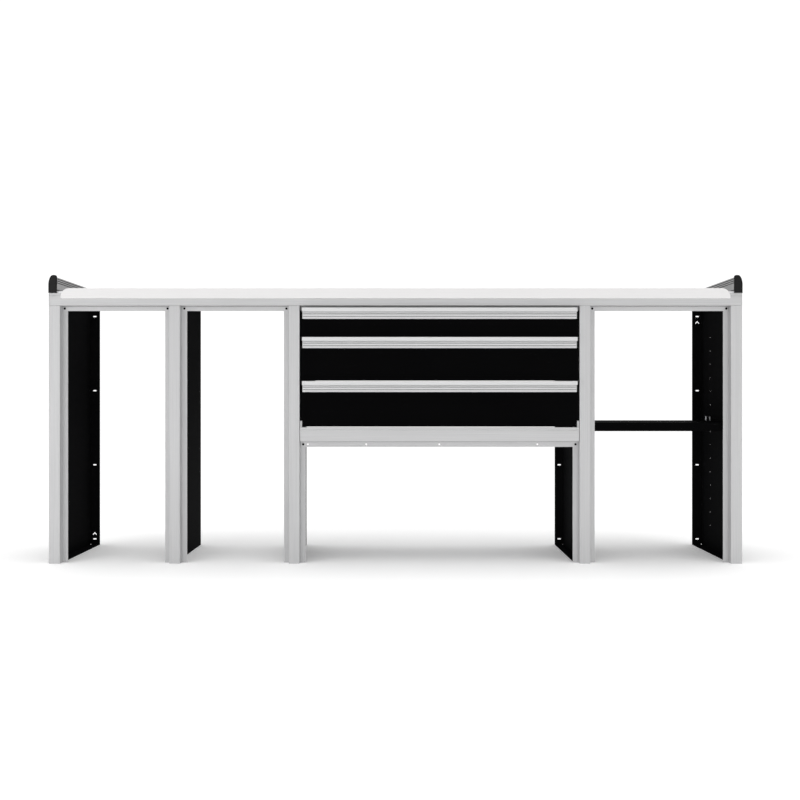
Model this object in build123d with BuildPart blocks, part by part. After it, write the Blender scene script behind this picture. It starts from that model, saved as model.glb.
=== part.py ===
from build123d import *
import os

os.makedirs("parts", exist_ok=True)

# Workshop bench with three drawers, an open shelf bay and two open bays.
# X runs left to right along the front, Y runs from front to back, Z is up.
# The origin is on the floor, under the middle of the bench. Millimetres.

# How far a cut reaches past the face that it opens.
PAST = 1.0

# ---------------------------------------------------------------- layout
BENCH_WIDTH = 2383.0
FRAME_DEPTH = 400.0
FRAME_TOP = 930.5
LEFT_BAY = 432.0
MIDDLE_BAY = 411.0
DRAWER_BAY = 1000.0

HANDLE_PROUD = 17.0
FACE = HANDLE_PROUD - (FRAME_DEPTH + HANDLE_PROUD) / 2
REAR = FACE + FRAME_DEPTH
END_X = BENCH_WIDTH / 2
POST_2_X = LEFT_BAY - END_X
POST_3_X = POST_2_X + MIDDLE_BAY
POST_4_X = POST_3_X + DRAWER_BAY
MIDDLE_POSTS = {"front_post_2": POST_2_X, "front_post_3": POST_3_X, "front_post_4": POST_4_X}
BAY_CENTRE = (POST_3_X + POST_4_X) / 2

# ---------------------------------------------------------------- aluminium front profiles
WALL = 2.0
PLATE_STEP = 23.0
HAT_PLATE = 37.0
HAT_WIDTH = 76.0
SIDE_SLOPE = 1.5
END_PLATE = 38.7
END_WIDTH = 57.5
EDGE_RADIUS = 1.2
RAIL_PLATE = 43.0
RAIL_FLANGE = 17.0
RAIL_STEP = PLATE_STEP - WALL
RAIL_BOTTOM = FRAME_TOP - RAIL_PLATE
POST_TOP = RAIL_BOTTOM - 0.5
GROOVE_DROP = 7.0
GROOVE_WIDTH = 3.0
GROOVE_DEPTH = 0.8
CAP_SHEET = 2.0
RAIL_CAP_SETBACK = 1.0
RAIL_CLEARANCE = 0.5
POST_CLEARANCE = 0.5

LOWER_RAIL_TOP = 468.5
LOWER_RAIL_PLATE = 48.0
LOWER_RAIL_FLANGE = 20.0
LOWER_RAIL_HOLES = (-455.0, -253.0, 0.0, 339.0)
LOWER_RAIL_HOLE_RADIUS = 3.0
CORNER_BLOCK_WIDTH = 6.5
CORNER_BLOCK_HEIGHT = 22.5
CORNER_BLOCK_SETBACK = 1.0
CORNER_BLOCK_DEPTH = 19.0

# ---------------------------------------------------------------- sheet steel side panels
SHEET = 1.5
PANEL_FRONT = FACE + PLATE_STEP + WALL
END_FLANGE = 40.0
INNER_FLANGE = 35.0
SLOT_LENGTH = 13.0
SLOT_WIDTH = 4.8
SLOT_FIRST = 22.5
SLOT_PITCH = 288.3
SLOT_COUNT = 4
ARROW_OFFSET = 22.0
ARROW_HALF = 7.0
ARROW_RISE = 7.5
ARROW_STROKE = 4.5
PIN_RADIUS = 2.5
PIN_FIRST = 88.0
PIN_PITCH = 50.8
PIN_COUNT = 15
PIN_REAR_Y = FACE + 310.0
PIN_FRONT_Y = FACE + 108.0
RELIEF_RADIUS = 2.5
TUBE_CLEARANCE = 0.5

# ---------------------------------------------------------------- tubes across the back
TUBE = 20.0
TUBE_WALL = 1.5
REAR_TIE_HEIGHT = 40.0
REAR_TIE_BOTTOM = 405.0
REAR_TIE_SETBACK = 4.0

# ---------------------------------------------------------------- worktop and its end rails
WORKTOP_HALF = 1146.0
WORKTOP_TOP = 945.5
NOSING_HEIGHT = 34.5
NOSING_DEPTH = 15.0
WORKTOP_CORNER = 30.0
END_RAIL_WIDTH = 27.5
END_RAIL_HEIGHT = 55.0
END_CAP_HEIGHT = 61.5
END_CAP_LENGTH = 7.0
END_CAP_PROUD = 5.0
REAR_CAP_LENGTH = 7.0
CAP_OVERLAP = 0.5
CAP_EDGE_RADIUS = 2.0
NOSING_EDGE_RADIUS = 2.0
CAP_FLAT = 11.5
CAP_SHOULDER = 28.0

# ---------------------------------------------------------------- drawers
STACK_BOTTOM = 471.0
FRONT_GAP = 2.0
FRONT_WIDTH = 959.6
HANDLE_WIDTH = 943.0
NOTCH_WIDTH = 8.6
LOWER_NOTCH = 22.0
UPPER_NOTCH = 8.5
FRONT_DEPTH = 15.0
FRONT_FACE = FACE + 3.0
HANDLE_HEIGHT = 37.5
THIN_SHEET = 1.2
DRAWER_PITCHES = {"drawer_3": 158.5, "drawer_2": 151.0, "drawer_1": 100.5}
BOX_WIDTH = 901.6
BOX_LENGTH = 355.0
BOX_RAISE = 12.0
BOX_DROP = 15.0

RUNNER_DEPTH = 12.7
RUNNER_RAISE = 32.0
RUNNER_START = FACE + 27.5
RUNNER_LENGTH = 348.0
MIDDLE_RUNNER_LENGTH = 340.0
CARRIER_FACE = BOX_WIDTH / 2 + RUNNER_DEPTH
CARRIER_LENGTH = 350.0
CARRIER_BOTTOM = 475.0
CARRIER_TOP = 865.0
CARRIER_LIP = 18.0

# ---------------------------------------------------------------- shelf
SHELF_TOP = 484.5
SHELF_FOLD = 30.0
SHELF_GAP = 2.0
SHELF_LEFT = POST_4_X + SHEET / 2 + SHELF_GAP
SHELF_RIGHT = END_X - SHEET - SHELF_GAP
SHELF_FRONT = FACE + 30.0
SHELF_REAR = FACE + 370.0
SHELF_RETURN = 15.0
CLIP_HOLE = 8
CLIP_SHEET = 1.5
CLIP_ARM = 2.0
CLIP_HALF = 6.0
CLIP_FOOT = 20.0
CLIP_HOOK = 16.0
CLIP_RISE = 7.0
CLIP_DROP = 6.0
PIN_FIT = 0.1
PIN_LENGTH = 3.0

# ---------------------------------------------------------------- fasteners
SCREW_RADIUS = 2.0
SCREW_HEAD_RADIUS = 3.8
SCREW_HEAD = 2.4
SCREW_LENGTH = 9.0
SCREW_SIDE = 29.0
END_SCREW_SIDE = 47.3
UPPER_SCREW_Z = 879.0
LOWER_SCREW_Z = 409.5
SCREW_FIT = 0.1
BORE_LENGTH = 8.0


def block(x0, x1, y0, y1, z0, z1, mode=Mode.ADD):
    """Add or cut a box given by its limits."""
    middle = ((x0 + x1) / 2, (y0 + y1) / 2, (z0 + z1) / 2)
    with Locations(middle):
        Box(abs(x1 - x0), abs(y1 - y0), abs(z1 - z0), mode=mode)


def cross_bore(x, y, z, radius, length, mode=Mode.SUBTRACT):
    """Cut or add a cylinder that runs front to back, centred on a point."""
    with Locations(Location((x, y, z), (90, 0, 0))):
        Cylinder(radius, length, mode=mode)


def screw_bore(x, y, z):
    """Cut the clearance hole of one frame screw."""
    cross_bore(x, y, z, SCREW_RADIUS + SCREW_FIT, BORE_LENGTH)


# ================================================================ front posts
for name, centre in MIDDLE_POSTS.items():
    with BuildPart() as middle_post:
        with BuildSketch(Plane.XY) as hat:
            with BuildLine():
                Polyline(
                    (centre - HAT_WIDTH / 2, FACE + PLATE_STEP),
                    (centre - HAT_PLATE / 2 - SIDE_SLOPE, FACE + PLATE_STEP),
                    (centre - HAT_PLATE / 2, FACE),
                    (centre + HAT_PLATE / 2, FACE),
                    (centre + HAT_PLATE / 2 + SIDE_SLOPE, FACE + PLATE_STEP),
                    (centre + HAT_WIDTH / 2, FACE + PLATE_STEP),
                    (centre + HAT_WIDTH / 2, PANEL_FRONT),
                    (centre + HAT_PLATE / 2 + SIDE_SLOPE - WALL, PANEL_FRONT),
                    (centre + HAT_PLATE / 2 - WALL, FACE + WALL),
                    (centre - HAT_PLATE / 2 + WALL, FACE + WALL),
                    (centre - HAT_PLATE / 2 - SIDE_SLOPE + WALL, PANEL_FRONT),
                    (centre - HAT_WIDTH / 2, PANEL_FRONT),
                    close=True,
                )
            make_face()
            fillet(hat.vertices().group_by(Axis.Y)[0], EDGE_RADIUS)
        extrude(amount=POST_TOP)
        for side in (-1, 1):
            screw_bore(centre + side * SCREW_SIDE, FACE + PLATE_STEP, UPPER_SCREW_Z)
        if name != "front_post_2":
            inward = 1 if name == "front_post_3" else -1
            screw_bore(centre + inward * SCREW_SIDE, FACE + PLATE_STEP, LOWER_SCREW_Z)
    middle_post.part.label = name
    export_step(middle_post.part, f"parts/{name}.step")

for name, side in (("front_post_1", -1), ("front_post_5", 1)):
    with BuildPart() as end_post:
        with BuildSketch(Plane.XY) as half_hat:
            with BuildLine():
                Polyline(
                    (side * END_X, FACE),
                    (side * (END_X - END_PLATE), FACE),
                    (side * (END_X - END_PLATE - SIDE_SLOPE), FACE + PLATE_STEP),
                    (side * (END_X - END_WIDTH), FACE + PLATE_STEP),
                    (side * (END_X - END_WIDTH), FACE + PLATE_STEP + WALL),
                    (side * (END_X - END_PLATE - SIDE_SLOPE + WALL), FACE + PLATE_STEP + WALL),
                    (side * (END_X - END_PLATE + WALL), FACE + WALL),
                    (side * (END_X - WALL), FACE + WALL),
                    (side * (END_X - WALL), FACE + PLATE_STEP + WALL),
                    (side * END_X, FACE + PLATE_STEP + WALL),
                    close=True,
                )
            make_face()
            fillet(half_hat.vertices().group_by(Axis.Y)[0], EDGE_RADIUS)
        extrude(amount=POST_TOP)
        screw_bore(side * (END_X - END_SCREW_SIDE), FACE + PLATE_STEP, UPPER_SCREW_Z)
    end_post.part.label = name
    export_step(end_post.part, f"parts/{name}.step")


# ================================================================ front rails
def rail_section(start_x, top, plate, flange):
    """Draw the stepped rail section at start_x: plate, two webs and a lower flange."""
    bottom = top - plate
    groove = top - GROOVE_DROP
    with BuildSketch(Plane.YZ.offset(start_x)) as section:
        with BuildLine():
            Polyline(
                (FACE, top),
                (FACE, groove),
                (FACE + GROOVE_DEPTH, groove - GROOVE_DEPTH),
                (FACE + GROOVE_DEPTH, groove - GROOVE_WIDTH),
                (FACE, groove - GROOVE_WIDTH - GROOVE_DEPTH),
                (FACE, bottom),
                (FACE + RAIL_STEP, bottom),
                (FACE + RAIL_STEP, bottom - flange),
                (FACE + PLATE_STEP, bottom - flange),
                (FACE + PLATE_STEP, bottom + WALL),
                (FACE + WALL, bottom + WALL),
                (FACE + WALL, top - WALL),
                (FACE + PLATE_STEP - RAIL_CAP_SETBACK, top - WALL),
                (FACE + PLATE_STEP - RAIL_CAP_SETBACK, top),
                close=True,
            )
        make_face()
    return section.sketch


UPPER_SCREWS = [side * (END_X - END_SCREW_SIDE) for side in (-1, 1)]
for post_x in MIDDLE_POSTS.values():
    UPPER_SCREWS += [post_x - SCREW_SIDE, post_x + SCREW_SIDE]
LOWER_SCREWS = [POST_3_X + SCREW_SIDE, POST_4_X - SCREW_SIDE]

with BuildPart() as front_top_rail:
    top_section = rail_section(CAP_SHEET - END_X, FRAME_TOP, RAIL_PLATE, RAIL_FLANGE)
    extrude(top_section, amount=BENCH_WIDTH - 2 * CAP_SHEET)
    notch_bottom = RAIL_BOTTOM - RAIL_FLANGE - PAST
    notch_back = FACE + PLATE_STEP + PAST
    notches = []
    for post_x in MIDDLE_POSTS.values():
        reach = HAT_PLATE / 2 + SIDE_SLOPE + POST_CLEARANCE
        notches.append((post_x - reach, post_x + reach))
    for side in (-1, 1):
        notches.append((side * (END_X - END_PLATE - SIDE_SLOPE - POST_CLEARANCE), side * END_X))
    for notch_start, notch_end in notches:
        block(notch_start, notch_end, FACE, notch_back, notch_bottom, RAIL_BOTTOM, Mode.SUBTRACT)
    for screw_x in UPPER_SCREWS:
        screw_bore(screw_x, FACE + RAIL_STEP, UPPER_SCREW_Z)
front_top_rail.part.label = "front_top_rail"
export_step(front_top_rail.part, "parts/front_top_rail.step")

with BuildPart() as top_rail_end_plates:
    for side in (-1, 1):
        plate_back = FACE + PLATE_STEP - RAIL_CAP_SETBACK
        block(side * (END_X - CAP_SHEET), side * END_X, FACE, plate_back, RAIL_BOTTOM, FRAME_TOP)
top_rail_end_plates.part.label = "top_rail_end_plates"
export_step(top_rail_end_plates.part, "parts/top_rail_end_plates.step")

LOWER_RAIL_HALF = DRAWER_BAY / 2 - HAT_PLATE / 2 - SIDE_SLOPE - POST_CLEARANCE
with BuildPart() as drawer_bay_lower_rail:
    rail_start = BAY_CENTRE - LOWER_RAIL_HALF
    lower_section = rail_section(rail_start, LOWER_RAIL_TOP, LOWER_RAIL_PLATE, LOWER_RAIL_FLANGE)
    extrude(lower_section, amount=2 * LOWER_RAIL_HALF)
    for offset_x in LOWER_RAIL_HOLES:
        hole_x = BAY_CENTRE + offset_x
        cross_bore(hole_x, FACE + RAIL_STEP, LOWER_SCREW_Z, LOWER_RAIL_HOLE_RADIUS, BORE_LENGTH)
    for screw_x in LOWER_SCREWS:
        screw_bore(screw_x, FACE + RAIL_STEP, LOWER_SCREW_Z)
drawer_bay_lower_rail.part.label = "drawer_bay_lower_rail"
export_step(drawer_bay_lower_rail.part, "parts/drawer_bay_lower_rail.step")

with BuildPart() as lower_rail_corner_blocks:
    for side in (-1, 1):
        outer = BAY_CENTRE + side * LOWER_RAIL_HALF
        near = FACE + CORNER_BLOCK_SETBACK
        inner = outer - side * CORNER_BLOCK_WIDTH
        top = LOWER_RAIL_TOP + CORNER_BLOCK_HEIGHT
        block(inner, outer, near, near + CORNER_BLOCK_DEPTH, LOWER_RAIL_TOP, top)
lower_rail_corner_blocks.part.label = "lower_rail_corner_blocks"
export_step(lower_rail_corner_blocks.part, "parts/lower_rail_corner_blocks.step")


# ================================================================ side panels
def side_panel(label, web_face, toward, flange, arrow_z=None, pins=False, screws=()):
    """Make one folded steel panel: a web with a flange all round, turned towards +X or -X.

    web_face is the outer face of the web and toward is the direction of the flanges.
    """
    web_inner = web_face + toward * SHEET
    tip = web_face + toward * flange
    back_face = Plane.XZ.offset(-REAR)
    slot_x = web_face + toward * flange / 2
    with BuildPart() as panel:
        block(web_face, web_inner, PANEL_FRONT, REAR, 0, FRAME_TOP)
        block(web_face, tip, PANEL_FRONT, PANEL_FRONT + SHEET, 0, FRAME_TOP)
        block(web_face, tip, REAR - SHEET, REAR, 0, FRAME_TOP)
        block(web_face, tip, PANEL_FRONT, REAR, 0, SHEET)
        block(web_face, tip, PANEL_FRONT, REAR, FRAME_TOP - SHEET, FRAME_TOP)
        with BuildSketch(back_face):
            with Locations([(slot_x, SLOT_FIRST + step * SLOT_PITCH) for step in range(SLOT_COUNT)]):
                SlotOverall(SLOT_LENGTH, SLOT_WIDTH)
            if arrow_z:
                with BuildLine():
                    Polyline(
                        (slot_x - ARROW_HALF, arrow_z - ARROW_RISE),
                        (slot_x, arrow_z),
                        (slot_x + ARROW_HALF, arrow_z - ARROW_RISE),
                        (slot_x + ARROW_HALF, arrow_z - ARROW_RISE + ARROW_STROKE),
                        (slot_x, arrow_z + ARROW_STROKE),
                        (slot_x - ARROW_HALF, arrow_z - ARROW_RISE + ARROW_STROKE),
                        close=True,
                    )
                make_face()
        extrude(amount=SHEET * 2, mode=Mode.SUBTRACT)
        if pins:
            heights = [PIN_FIRST + step * PIN_PITCH for step in range(PIN_COUNT)]
            with BuildSketch(Plane.YZ.offset(web_face - SHEET)):
                with Locations([(y, z) for y in (PIN_FRONT_Y, PIN_REAR_Y) for z in heights]):
                    Circle(PIN_RADIUS)
            extrude(amount=SHEET * 3, mode=Mode.SUBTRACT)
        gap = TUBE + TUBE_CLEARANCE
        notch_x = (web_face - toward, tip + toward)
        block(*notch_x, REAR - gap, REAR + PAST, FRAME_TOP - gap, FRAME_TOP + PAST, Mode.SUBTRACT)
        for screw_x, screw_z in screws:
            screw_bore(screw_x, PANEL_FRONT, screw_z)
        with Locations((web_inner + toward * RELIEF_RADIUS, REAR, 0)):
            Cylinder(RELIEF_RADIUS, 4 * SHEET, mode=Mode.SUBTRACT)
    panel.part.label = label
    export_step(panel.part, f"parts/{label}.step")


LOWEST_ARROW = SLOT_FIRST + ARROW_OFFSET
HIGHEST_ARROW = SLOT_FIRST + (SLOT_COUNT - 1) * SLOT_PITCH - ARROW_OFFSET
POST_2_SCREWS = [(POST_2_X - SCREW_SIDE, UPPER_SCREW_Z)]
POST_3_SCREWS = [(POST_3_X - SCREW_SIDE, UPPER_SCREW_Z)]
POST_4_SCREWS = [(POST_4_X - SCREW_SIDE, UPPER_SCREW_Z), (POST_4_X - SCREW_SIDE, LOWER_SCREW_Z)]
side_panel("left_end_panel", -END_X, 1, END_FLANGE, arrow_z=LOWEST_ARROW)
side_panel("left_divider_panel", POST_2_X + SHEET / 2, -1, INNER_FLANGE, screws=POST_2_SCREWS)
side_panel("drawer_bay_left_panel", POST_3_X + SHEET / 2, -1, INNER_FLANGE, screws=POST_3_SCREWS)
side_panel("drawer_bay_right_panel", POST_4_X + SHEET / 2, -1, INNER_FLANGE, pins=True, screws=POST_4_SCREWS)
side_panel("right_end_panel", END_X, -1, END_FLANGE, arrow_z=HIGHEST_ARROW, pins=True)


# ================================================================ tubes across the back
def square_tube(label, x0, x1, y0, z0, height):
    """Make one rectangular steel tube that runs along X."""
    with BuildPart() as tube:
        block(x0, x1, y0, y0 + TUBE, z0, z0 + height)
        hollow_y = (y0 + TUBE_WALL, y0 + TUBE - TUBE_WALL)
        block(x0 - PAST, x1 + PAST, *hollow_y, z0 + TUBE_WALL, z0 + height - TUBE_WALL, Mode.SUBTRACT)
    tube.part.label = label
    export_step(tube.part, f"parts/{label}.step")


square_tube("rear_top_rail", -END_X, END_X, REAR - TUBE, FRAME_TOP - TUBE, TUBE)
TIE_ENDS = (POST_3_X + SHEET, POST_4_X - SHEET)
TIE_Y = REAR - TUBE - REAR_TIE_SETBACK
square_tube("drawer_bay_rear_tie", *TIE_ENDS, TIE_Y, REAR_TIE_BOTTOM, REAR_TIE_HEIGHT)


# ================================================================ worktop
def worktop_slice(back_y, bottom):
    """Draw the worktop's front view above a height, with its rounded upper ends, at back_y."""
    low = WORKTOP_TOP - NOSING_HEIGHT
    with BuildSketch(Plane.XZ.offset(-back_y)) as outline:
        with Locations((0, (WORKTOP_TOP + low) / 2)):
            Rectangle(2 * WORKTOP_HALF, NOSING_HEIGHT)
        fillet(outline.vertices().group_by(Axis.Y)[-1], WORKTOP_CORNER)
        if bottom > low:
            with Locations((0, bottom)):
                below = (Align.CENTER, Align.MAX)
                Rectangle(3 * WORKTOP_HALF, NOSING_HEIGHT, align=below, mode=Mode.SUBTRACT)
    return outline.sketch


with BuildPart() as worktop_board:
    extrude(worktop_slice(REAR, FRAME_TOP), amount=FRAME_DEPTH)
worktop_board.part.label = "worktop_board"
export_step(worktop_board.part, "parts/worktop_board.step")

with BuildPart() as worktop_nosing:
    extrude(worktop_slice(FACE, WORKTOP_TOP - NOSING_HEIGHT), amount=NOSING_DEPTH)
    fillet(worktop_nosing.edges().group_by(Axis.Y)[0], NOSING_EDGE_RADIUS)
worktop_nosing.part.label = "worktop_nosing"
export_step(worktop_nosing.part, "parts/worktop_nosing.step")

# ================================================================ end rails on the worktop's ends
INNER_X = END_X - END_RAIL_WIDTH
RIDGE_HEIGHTS = (38.0, 44.5, 51.0)
RIDGE = 1.6
RIDGE_INSET = 1.0
RAIL_FLAT = 7.0
RAIL_SHOULDER = 22.0
RAIL_LEAN = 2.5
RAIL_LEAN_BASE = 33.0
RAIL_UNDERCUT = 7.0
RAIL_UNDERCUT_TOP = 12.5
RAIL_FOOT = 17.5
RAIL_FOOT_HEIGHT = 6.0
HOLLOW_WIDTH = 14.0
HOLLOW_HEIGHT = 24.0
HOLLOW_RADIUS = 5.0
HOLLOW_INSET = 12.0
HOLLOW_CENTRE = 30.0
RAIL_FRONT = FACE - END_CAP_PROUD + END_CAP_LENGTH
RAIL_REAR = REAR - REAR_CAP_LENGTH
with BuildPart() as end_rail_right:
    with BuildSketch(Plane.XZ.offset(-RAIL_REAR)):
        with BuildLine():
            Polyline(
                (INNER_X + RAIL_FLAT, FRAME_TOP + END_RAIL_HEIGHT),
                (INNER_X + RAIL_LEAN, FRAME_TOP + END_RAIL_HEIGHT),
                (INNER_X, FRAME_TOP + RAIL_LEAN_BASE),
                (INNER_X, FRAME_TOP + RAIL_UNDERCUT_TOP),
                (INNER_X + RAIL_UNDERCUT, FRAME_TOP + RAIL_UNDERCUT_TOP),
                (INNER_X + RAIL_UNDERCUT, FRAME_TOP + RAIL_FOOT_HEIGHT),
                (INNER_X - RAIL_FOOT, FRAME_TOP + RAIL_FOOT_HEIGHT),
                (INNER_X - RAIL_FOOT, FRAME_TOP),
                (END_X, FRAME_TOP),
                (END_X, FRAME_TOP + RAIL_SHOULDER),
            )
            EllipticalCenterArc(
                (INNER_X + RAIL_FLAT, FRAME_TOP + RAIL_SHOULDER),
                END_RAIL_WIDTH - RAIL_FLAT,
                END_RAIL_HEIGHT - RAIL_SHOULDER,
            )
        make_face()
        for height in RIDGE_HEIGHTS:
            with Locations((INNER_X + RIDGE_INSET, FRAME_TOP + height)):
                Circle(RIDGE)
        with Locations((INNER_X + HOLLOW_INSET, FRAME_TOP + HOLLOW_CENTRE)):
            RectangleRounded(HOLLOW_WIDTH, HOLLOW_HEIGHT, HOLLOW_RADIUS, mode=Mode.SUBTRACT)
    extrude(amount=RAIL_REAR - RAIL_FRONT)
end_rail_right.part.label = "end_rail_right"
export_step(end_rail_right.part, "parts/end_rail_right.step")

with BuildPart() as end_rail_left:
    mirror(end_rail_right.part, about=Plane.YZ)
end_rail_left.part.label = "end_rail_left"
export_step(end_rail_left.part, "parts/end_rail_left.step")


def end_cap_outline(back_y):
    """Draw a right-hand end cap's front view at back_y: flat inside, curved outside."""
    with BuildSketch(Plane.XZ.offset(-back_y)) as outline:
        with BuildLine():
            Polyline(
                (INNER_X + CAP_FLAT, FRAME_TOP + END_CAP_HEIGHT),
                (INNER_X - CAP_OVERLAP, FRAME_TOP + END_CAP_HEIGHT),
                (INNER_X - CAP_OVERLAP, FRAME_TOP),
                (END_X, FRAME_TOP),
                (END_X, FRAME_TOP + CAP_SHOULDER),
            )
            EllipticalCenterArc(
                (INNER_X + CAP_FLAT, FRAME_TOP + CAP_SHOULDER),
                END_RAIL_WIDTH - CAP_FLAT,
                END_CAP_HEIGHT - CAP_SHOULDER,
            )
        make_face()
    return outline.sketch


with BuildPart() as right_front_cap:
    extrude(end_cap_outline(RAIL_FRONT), amount=END_CAP_LENGTH)
    fillet(right_front_cap.edges().group_by(Axis.Y)[0], CAP_EDGE_RADIUS)
right_front_cap.part.label = "end_rail_right_front_cap"
export_step(right_front_cap.part, "parts/end_rail_right_front_cap.step")

with BuildPart() as left_front_cap:
    mirror(right_front_cap.part, about=Plane.YZ)
left_front_cap.part.label = "end_rail_left_front_cap"
export_step(left_front_cap.part, "parts/end_rail_left_front_cap.step")

with BuildPart() as right_rear_cap:
    extrude(end_cap_outline(REAR), amount=REAR_CAP_LENGTH)
    fillet(right_rear_cap.edges().group_by(Axis.Y)[-1], CAP_EDGE_RADIUS)
right_rear_cap.part.label = "end_rail_right_rear_cap"
export_step(right_rear_cap.part, "parts/end_rail_right_rear_cap.step")

with BuildPart() as left_rear_cap:
    mirror(right_rear_cap.part, about=Plane.YZ)
left_rear_cap.part.label = "end_rail_left_rear_cap"
export_step(left_rear_cap.part, "parts/end_rail_left_rear_cap.step")

# ================================================================ runner carriers in the drawer bay
for name, side in (("runner_carrier_left", -1), ("runner_carrier_right", 1)):
    carrier_x = BAY_CENTRE + side * CARRIER_FACE
    web_x = POST_3_X + SHEET / 2 if side < 0 else POST_4_X - SHEET / 2
    with BuildPart() as carrier:
        start = RUNNER_START
        end = RUNNER_START + CARRIER_LENGTH
        block(carrier_x, carrier_x + side * SHEET, start, end, CARRIER_BOTTOM, CARRIER_TOP)
        block(carrier_x, web_x, start, start + SHEET, CARRIER_BOTTOM, CARRIER_TOP)
        block(carrier_x, web_x, end - SHEET, end, CARRIER_BOTTOM, CARRIER_TOP)
        for lip_start in (start, end - CARRIER_LIP):
            lip_end = lip_start + CARRIER_LIP
            block(web_x - side * SHEET, web_x, lip_start, lip_end, CARRIER_BOTTOM, CARRIER_TOP)
    carrier.part.label = name
    export_step(carrier.part, f"parts/{name}.step")


# ================================================================ drawers
RIDGE_FACE = FACE - 1.5
RIDGE_BANDS = ((36.0, 31.0), (27.5, 22.0), (18.5, 15.0))
RIDGE_SLOPE = 1.0
LIP_SHEET = 2.5
LIP_RADIUS = 5.0
LIP_DROP = 13.5


def handle_section(start_x, top):
    """Draw a drawer handle's section at start_x: ridged plate and finger lip."""
    back = FRONT_FACE
    tip = FACE - HANDLE_PROUD
    ridge_points = []
    for band_low, band_high in RIDGE_BANDS:
        ridge_points += [
            (FACE, top - band_low - RIDGE_SLOPE),
            (RIDGE_FACE, top - band_low),
            (RIDGE_FACE, top - band_high),
            (FACE, top - band_high + RIDGE_SLOPE),
        ]
    with BuildSketch(Plane.YZ.offset(start_x)) as section:
        with BuildLine():
            Polyline(
                (tip + LIP_RADIUS, top),
                (back, top),
                (back, top - HANDLE_HEIGHT),
                (FACE, top - HANDLE_HEIGHT),
                *ridge_points,
                (FACE, top - LIP_SHEET),
                (tip + LIP_RADIUS, top - LIP_SHEET),
            )
            inner_start = (tip + LIP_RADIUS, top - LIP_SHEET)
            inner_end = (tip + LIP_SHEET, top - LIP_RADIUS)
            RadiusArc(inner_start, inner_end, LIP_SHEET - LIP_RADIUS)
            Polyline(
                (tip + LIP_SHEET, top - LIP_RADIUS),
                (tip + LIP_SHEET, top - LIP_DROP),
                (tip, top - LIP_DROP),
                (tip, top - LIP_RADIUS),
            )
            RadiusArc((tip, top - LIP_RADIUS), (tip + LIP_RADIUS, top), LIP_RADIUS)
        make_face()
    return section.sketch


# Each stage's web and flanges, as depths from the carrier's face towards the drawer.
RUNNER_STAGES = {
    "fixed": {"web": (0.0, 1.2), "flange": (0.0, 11.0), "half_height": 22.8, "length": RUNNER_LENGTH},
    "middle": {"web": (2.2, 3.4), "flange": (2.2, 10.5), "half_height": 19.4, "length": MIDDLE_RUNNER_LENGTH},
    "inner": {"web": (11.5, 12.7), "flange": (5.0, 12.7), "half_height": 16.0, "length": RUNNER_LENGTH},
}


def runner(label, z, web, flange, half_height, length):
    """Make the left and right members of one runner stage as channels that lie on their sides."""
    start = RUNNER_START
    with BuildPart() as pair:
        for side in (-1, 1):
            face = BAY_CENTRE + side * CARRIER_FACE
            inner = face - side * flange[0]
            outer = face - side * flange[1]
            web_x = face - side * web[0]
            web_end = face - side * web[1]
            block(web_x, web_end, start, start + length, z - half_height, z + half_height)
            for up in (-1, 1):
                block(inner, outer, start, start + length, z + up * half_height,
                      z + up * (half_height - THIN_SHEET))
    pair.part.label = label
    export_step(pair.part, f"parts/{label}.step")


STACK_TOP = STACK_BOTTOM + sum(DRAWER_PITCHES.values()) - FRONT_GAP
# The lowest front clears the corner blocks, and the highest clears the top rail's flange.
FRONT_NOTCHES = {
    "drawer_3": (STACK_BOTTOM - PAST, STACK_BOTTOM + LOWER_NOTCH),
    "drawer_1": (STACK_TOP - UPPER_NOTCH, STACK_TOP + PAST),
}

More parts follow.
